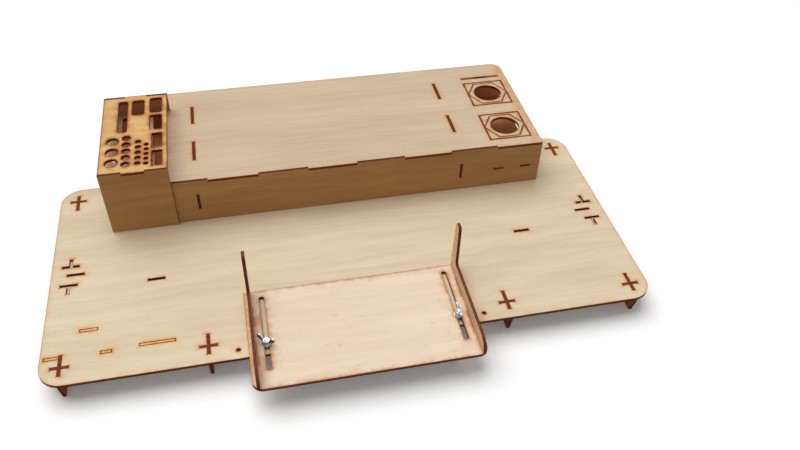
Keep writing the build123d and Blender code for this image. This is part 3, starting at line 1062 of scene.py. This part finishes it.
@dataclass(frozen=True)
class ToolHoles:
    """The holes for upright tools, the same in the shelf and in the top of the tool box.

    Attributes:
        wells: X, offset from the board's front, width, depth and corner radius of each well.
        rows: X, offset of the first hole, pitch, count and radius of each row of round holes.
    """

    wells: tuple[tuple[float, ...], ...] = (
        (-179.8, 308.2, 13.0, 28.4, 3.0), (-179.8, 275.8, 13.0, 28.0, 3.0),
        (-178.4, 242.5, 10.8, 26.8, 1.5), (-178.4, 212.7, 10.8, 25.6, 1.5),
        (-198.6, 306.0, 13.0, 28.4, 3.0), (-214.5, 291.0, 10.0, 58.0, 3.0),
    )
    rows: tuple[tuple[float, ...], ...] = (
        (-223.2, 210.7, 18.0, 3, 6.55), (-209.3, 206.5, 11.1, 5, 4.45),
        (-197.3, 206.4, 9.1, 5, 3.1), (-189.0, 205.1, 8.0, 5, 2.4),
    )

    def cuts(self) -> tuple[Cut, ...]:
        """Every well and row of holes."""
        found = [Cut((x, at(y)), (wide / 2 - radius, deep / 2 - radius), radius)
                 for x, y, wide, deep, radius in self.wells]
        found += [Cut((x, at(y)), radius=radius, pitch=pitch, count=count)
                  for x, y, pitch, count, radius in self.rows]
        return tuple(found)


def open_edge(half_width: float, near: float, square: float, corner: float) -> tuple[Cut, Cut]:
    """The outline of a sheet with two round corners, and its square edge across from them.

    Args:
        half_width: Half the width of the sheet.
        near: Y of the edge between the round corners.
        square: Y of the square edge.
        corner: Radius of the round corners.

    Returns:
        The outline, carried on past the square edge, and the block that cuts it off there.
    """
    past = square + math.copysign(BEYOND, square - near)
    half = abs(past - near) / 2
    return (Cut((0, (near + past) / 2), (half_width - corner, half - corner), corner,
                CutKind.OUTLINE),
            Cut((0, past), (half_width, BEYOND), kind=CutKind.OUTLINE))


@dataclass
class FootedBoard:
    """The base board and its crossed feet.

    Attributes:
        half_width: Half the width of the board.
        depth: Depth of the board.
        corner: Corner radius.
        cross: X of the crosses in a corner, and half the lengths of their two slots.
        inner: X of the crosses near the carriage.
        inset: Distances of a cross's two slots from the nearest edge of the board.
        spares: X, offset from the front and half sizes of the spare slots.
        spare_hole: X, offset from the front and radius of the spare clamp holes.
        boxes: X, offset from the front and length of the scored boxes.
    """

    half_width: float = high_side("base_board", X)
    depth: float = high_side("base_board", Y) - FRONT
    corner: float = 22.0
    cross: Triple = (275.0, 8.3, 12.1)
    inner: float = 144.0
    inset: Point = (20.1, 22.5)
    spares: tuple[tuple[float, ...], ...] = (
        (275.1, 121.2, 8.35, TAB_HALF), (275.1, 115.45, TAB_HALF, 5.85),
        (275.1, 147.3, 8.35, TAB_HALF), (275.1, 153.05, TAB_HALF, 5.85),
        (269.4, 135.4, 8.35, TAB_HALF), (191.1, 115.0, 8.35, TAB_HALF),
        (143.5, 222.0, TAB_HALF, 10.1),
    )
    spare_hole: Triple = (117.6, 10.0, 2.1)
    boxes: tuple[Triple, ...] = ((-252.2, 60.2, 16.0), (-189.6, 33.5, 32.0),
                                 (-235.2, 31.1, 9.6), (-282.9, 31.5, 13.0))

    def cuts(self) -> tuple[Cut, ...]:
        """Every cut that smokes the board's top."""
        half = self.depth / 2
        found = [Cut((0, at(half)), (self.half_width - self.corner, half - self.corner),
                     self.corner, CutKind.OUTLINE)]
        end, wide, deep = self.cross
        short, long = self.inset
        for x, first, second in ((end, short, long), (self.inner, short, long),
                                 (end, self.depth - short, self.depth - long)):
            found += [Cut((x, at(first)), (wide, TAB_HALF), mirrored=True),
                      Cut((x, at(second)), (TAB_HALF, deep), mirrored=True)]
        found += [Cut((x, at(y)), (along, up), mirrored=True) for x, y, along, up in self.spares]
        x, y, radius = self.spare_hole
        found.append(Cut((x, at(y)), radius=radius, mirrored=True))
        found += [Cut((x, at(y)), (length / 2, PLY / 2), kind=CutKind.SCORED)
                  for x, y, length in self.boxes]
        return tuple(found)

    def sheets(self) -> list[PlywoodSheet]:
        """The board and its feet."""
        found = [PlywoodSheet("base_board", SheetPlane.LYING, BOARD, 11.0, self.cuts())]
        for row, seed in (("front", 23.0), ("back", 37.0)):
            found += [
                PlywoodSheet(f"{row}_foot_long_plates", SheetPlane.ALONG, FOOT, seed),
                PlywoodSheet(f"{row}_foot_cross_plates", SheetPlane.ACROSS, FOOT, seed + 6),
            ]
        return found


@dataclass
class SlidingCarriage:
    """The sliding plate and its two ribs.

    Attributes:
        half_width: Half the width of the plate.
        front: Y of its front edge.
        back: Y of its back edge.
        corner: Radius of its front corners.
        slot: Middle of the right clamp slot.
        slot_size: Half the straight length and half the width of a clamp slot.
        rib: X of the right rib.
        tabs: Y of a rib's tabs.
        tab_half: Half the length of a tab's slot.
        browned: Half sizes of the browned strip along each side.
        centre: Y of the middle of the browned strips and of the ribs.
        foot: Half sizes of the block whose outline darkens the foot of a rib: laser smoke along
            its cut, and painted shade in the crease where it meets the plate.
        foot_middle: Height of that block's middle.
    """

    half_width: float = high_side("carriage_plate", X)
    front: float = low_side("carriage_plate", Y)
    back: float = high_side("carriage_plate", Y)
    corner: float = 10.0
    slot: Point = (middle("wing_nut_right", X), at(23.9))
    slot_size: Point = (42.2, 2.3)
    rib: float = middle("carriage_rib_right", X)
    tabs: Point = (at(0.0), at(45.0))
    tab_half: float = 12.1
    browned: Point = (4.5, 60.0)
    centre: float = at(18.0)
    foot: Point = (58.0, 6.0)
    foot_middle: float = 22.0

    def cuts(self) -> tuple[Cut, ...]:
        """Every cut that smokes the plate's top."""
        length, radius = self.slot_size
        return (
            *open_edge(self.half_width, self.front, self.back, self.corner),
            Cut(self.slot, (0, length), radius, mirrored=True),
            *(Cut((self.rib, y), (TAB_HALF, self.tab_half), mirrored=True) for y in self.tabs),
            Cut((self.half_width, self.centre), self.browned, kind=CutKind.STAIN_AND_SHADE, mirrored=True),
        )

    def sheets(self) -> list[PlywoodSheet]:
        """The plate and its ribs."""
        # The rib's foot gets a halo and a dark line: partly laser smoke, partly painted shade in
        # the crease on the plate.
        foot = Cut((self.centre, self.foot_middle), self.foot)
        return [
            PlywoodSheet("carriage_plate", SheetPlane.LYING, CARRIAGE, 53.0, self.cuts()),
            PlywoodSheet("carriage_rib_left", SheetPlane.ALONG, RIB, 61.0, (foot,)),
            PlywoodSheet("carriage_rib_right", SheetPlane.ALONG, RIB, 67.0, (foot,)),
        ]


@dataclass
class RaisedShelf:
    """The shelf, its front panel, its dividers and the jar wells.

    Attributes:
        half_width: Half the width of the shelf.
        front: Y of the shelf's front edge.
        back: Y of its back edge.
        corner: Radius of its back corners.
        slots: Y of the divider slots.
        slot_half: Half the length of a divider slot.
        jar: X and first Y of the jar wells.
        jar_pitch: Distance between the jar wells.
        jar_sizes: Radius of a jar hole, half size of its square and its hexagon.
        jar_slot: Half the length of the slot behind the jars.
        holes: The tool holes.
        browned: Width of the browned strip along the right edge.
        under_box: Middle of the patch of painted shade on the shelf under the tool box.
        under_box_half: Half sizes of that patch.
    """

    half_width: float = high_side("shelf_plate", X)
    front: float = low_side("shelf_plate", Y)
    back: float = high_side("shelf_plate", Y)
    corner: float = 12.0
    slots: Point = (at(246.5), at(313.5))
    slot_half: float = 16.6
    jar: Point = (203.3, at(232.6))
    jar_pitch: float = 67.4
    jar_sizes: Triple = (16.2, 23.5, 20.35)
    jar_slot: float = 23.6
    holes: ToolHoles = ToolHoles()
    browned: float = 7.0
    under_box: Point = (-202.0, at(260.0))
    under_box_half: Point = (28.0, 62.0)

    def cuts(self) -> tuple[Cut, ...]:
        """Every cut that smokes the shelf's top."""
        middle_y, half = (self.front + self.back) / 2, (self.back - self.front) / 2
        divider, jar_panel = middle("divider_right", X), middle("jar_back_panel", Y)
        hole, square, hexagon = self.jar_sizes
        row = {"pitch": self.jar_pitch, "count": 2}
        return self.holes.cuts() + (
            *open_edge(self.half_width, self.back, self.front, self.corner),
            *(Cut((divider, y), (TAB_HALF, self.slot_half), mirrored=True) for y in self.slots),
            Cut((self.jar[0], jar_panel), (self.jar_slot, TAB_HALF)),
            Cut(self.jar, radius=hole, **row),
            Cut(self.jar, (square, square), kind=CutKind.SCORED, **row),
            Cut(self.jar, radius=hexagon, kind=CutKind.HEXAGON, **row),
            Cut((self.half_width, middle_y), (self.browned, half), kind=CutKind.STAIN_AND_SHADE),
            # Painted shade on the shelf under the tool box, in the smoke colour of the browned
            # patches.
            Cut(self.under_box, self.under_box_half, kind=CutKind.STAIN_AND_SHADE),
        )

    def sheets(self) -> list[PlywoodSheet]:
        """The shelf and what holds it."""
        lying, along, across = SheetPlane.LYING, SheetPlane.ALONG, SheetPlane.ACROSS
        return [
            PlywoodSheet("shelf_plate", lying, SHELF, 71.0, self.cuts()),
            PlywoodSheet("shelf_front_panel", across, PANEL_PAINTED_SHADE, 83.0),
            PlywoodSheet("divider_left", along, PANEL_PAINTED_SHADE, 97.0),
            PlywoodSheet("divider_right", along, PANEL_PAINTED_SHADE, 101.0),
            PlywoodSheet("jar_back_panel", across, JAR_PANEL, 113.0),
            PlywoodSheet("jar_floor", lying, WELL_PAINTED_SHADE, 127.0),
        ]


@dataclass
class ToolBox:
    """The raised box of wells and holes for upright tools.

    Attributes:
        top: Name of its top sheet.
        holes: The tool holes.
    """

    top: str = "tool_top_plate"
    holes: ToolHoles = ToolHoles()

    def sheets(self) -> list[PlywoodSheet]:
        """The three sheets of the box."""
        centre = (middle(self.top, X), middle(self.top, Y))
        half = (high_side(self.top, X) - centre[X], high_side(self.top, Y) - centre[Y])
        cuts = (*self.holes.cuts(), Cut(centre, half, kind=CutKind.OUTLINE))
        return [
            PlywoodSheet(self.top, SheetPlane.LYING, BOX, 131.0, cuts),
            PlywoodSheet("tool_front_panel", SheetPlane.ACROSS, PANEL_PAINTED_SHADE, 139.0),
            PlywoodSheet("tool_back_panel", SheetPlane.ACROSS, PANEL_PAINTED_SHADE, 149.0),
        ]


@dataclass
class ToolWell:
    """The floor and the back panel under the tool box, like those of the jar wells.

    Attributes:
        gap: Clearance to the sheets around.
        left: X of the left ends of both sheets.
        floor_right: X of the floor's right edge.
        panel_right: X of the panel's right end.
        front: Y of the floor's front edge.
        back: Y of the panel's front face.
        floor_low: Height of the floor's lower face.
        panel_span: Heights of the panel's lower and upper edges.
        tabs: X of the floor's tabs.
        tab: Width of a tab.
        past: How far a tab stands out behind the panel.
        rim: Chamfer of the edges.
    """

    gap: float = 0.1
    left: float = -high_side("jar_floor", X)
    floor_right: float = -172.0
    panel_right: float = low_side("divider_left", X) - gap
    front: float = high_side("shelf_front_panel", Y) + gap
    back: float = low_side("jar_back_panel", Y)
    floor_low: float = low_side("jar_floor", Z)
    panel_span: Point = (low_side("jar_back_panel", Z), low_side("shelf_plate", Z) - gap)
    tabs: Point = (-219.0, -187.6)
    tab: float = 12.0
    past: float = 0.05
    rim: float = 0.12

    def build(self, effects: Effects) -> None:
        """Models both sheets.

        Args:
            effects: The shared node groups.
        """
        reach = self.back + PLY + self.past
        line = [(self.left, self.front), (self.floor_right, self.front),
                (self.floor_right, self.back)]
        for x in reversed(self.tabs):
            right, left = x + self.tab / 2, x - self.tab / 2
            line += [(right, self.back), (right, reach), (left, reach), (left, self.back)]
        line.append((self.left, self.back))
        floor = PlywoodSheet("tool_floor", SheetPlane.LYING, WELL_PAINTED_SHADE, 163.0, low=self.floor_low)
        self._cut_out(floor, line, effects)
        low, high = self.panel_span
        line = [(self.left, low), (self.panel_right, low), (self.panel_right, high),
                (self.left, high)]
        panel = PlywoodSheet("tool_well_panel", SheetPlane.ACROSS, WELL_PAINTED_SHADE, 173.0, low=self.back)
        self._cut_out(panel, line, effects)

    def _cut_out(self, sheet: PlywoodSheet, line: list[Point], effects: Effects) -> None:
        """Models a sheet that has no node.

        Args:
            sheet: The sheet, with the place of its lower face.
            line: Its outline along its two directions, in millimetres.
            effects: The shared node groups.
        """
        mesh = bmesh.new()
        axes = sheet.plane.value
        for first, second in line:
            place = dict(zip(axes, (first, second, sheet.low)))
            mesh.verts.new([place[axis] for axis in range(3)])
        bmesh.ops.contextual_create(mesh, geom=list(mesh.verts))
        extrude(mesh, list(mesh.faces), [PLY if axis == axes[2] else 0.0 for axis in range(3)])
        rims = [edge for edge in mesh.edges if edge.calc_length() > PLY + self.rim]
        soften(mesh, rims, self.rim, 1)
        finish_piece(mesh, sheet.node, "frame", None, sheet.material(effects))


@dataclass
class Studio:
    """Pale floor, soft light and the camera.

    Attributes:
        eye: Camera place in millimetres.
        right: Direction of the picture's right.
        up: Direction of the picture's top.
        lens: Focal length in millimetres.
        sensor: Width of the camera's sensor in millimetres.
        floor_half: Half the width of the floor in metres.
        sky: Strength of the even light.
        bounce: Share of the light that the floor throws back on the object.
        pale: Share of the light that the floor throws back to the camera.
        glow: Strength that the floor adds for the camera alone.
        key: Strength of the lamp.
        key_from: Direction that the lamp shines from.
        softness: Width of the lamp in degrees.
    """

    eye: Triple = (-84.871, -621.041, 606.326)
    right: Triple = (0.97673972, -0.21257992, 0.02809439)
    up: Triple = (0.12472175, 0.66979802, 0.73199392)
    lens: float = 35.538
    sensor: float = 36.0
    floor_half: float = 8.0
    sky: float = 0.3
    bounce: float = 0.4
    pale: float = 0.94
    glow: float = 0.1
    key: float = 2.35
    key_from: Triple = (-0.25, 0.3, 1.0)
    softness: float = 60.0

    def build(self) -> None:
        """Sets the floor, the light and the camera."""
        self._floor()
        self._sky()
        self._sun()
        self._camera()
        bpy.context.scene.view_settings.view_transform = "Standard"

    def _floor(self) -> None:
        """Plain pale floor under the object."""
        mesh = bmesh.new()
        bmesh.ops.create_grid(mesh, x_segments=1, y_segments=1, size=self.floor_half)
        paint, g, shader = new_paint("pale_floor")
        floor = new_shape("floor", mesh, paint)
        seen = g.add("ShaderNodeLightPath").outputs["Is Camera Ray"]
        dim, pale = ((*[share] * 3, 1.0) for share in (self.bounce, self.pale))
        g.feed(g.mix(seen, dim, pale), shader.inputs["Base Color"])
        shader.inputs["Emission Color"].default_value = WHITE
        g.feed(g.times(seen, self.glow), shader.inputs["Emission Strength"])
        shader.inputs["Roughness"].default_value = 0.9

    def _sky(self) -> None:
        """Even white light, shown white to the camera and to shiny metal."""
        world = bpy.data.worlds.new("studio")
        bpy.context.scene.world = world
        world.use_nodes = True
        g = Graph(world.node_tree)
        path = g.add("ShaderNodeLightPath")
        seen = g.most(path.outputs["Is Camera Ray"], path.outputs["Is Glossy Ray"])
        power = g.plus(g.times(seen, 1.0 - self.sky), self.sky)
        shade = world.node_tree.nodes["Background"]
        shade.inputs["Color"].default_value = WHITE
        g.feed(power, shade.inputs["Strength"])

    def _sun(self) -> None:
        """Broad soft lamp, above and a little behind the left side of the board."""
        light = bpy.data.lights.new("key", "SUN")
        light.energy, light.angle = self.key, math.radians(self.softness)
        lamp = new_object("key", light)
        lamp.rotation_euler = (-Vector(self.key_from)).to_track_quat("-Z", "Y").to_euler()

    def _camera(self) -> None:
        """Camera at the photograph's viewing angle."""
        data = bpy.data.cameras.new("camera")
        data.lens = self.lens
        data.sensor_width = self.sensor
        data.clip_start, data.clip_end = 0.05, 50.0
        camera = new_object("camera", data)
        right, up = Vector(self.right), Vector(self.up)
        turn = Matrix((right, up, right.cross(up))).transposed().to_4x4()
        camera.matrix_world = Matrix.Translation(Vector(self.eye) * MM) @ turn
        bpy.context.scene.camera = camera


def main() -> None:
    """Builds the dressed organizer and its studio."""
    logging.basicConfig(level=logging.INFO, format="%(name)s: %(message)s")
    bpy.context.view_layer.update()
    effects = Effects()
    for part in (FootedBoard(), SlidingCarriage(), RaisedShelf(), ToolBox()):
        for sheet in part.sheets():
            sheet.dress(effects)
    ToolWell().build(effects)
    ClampHardware().build(effects)
    Studio().build()
    bpy.context.view_layer.update()


if __name__ == "__main__":
    main()
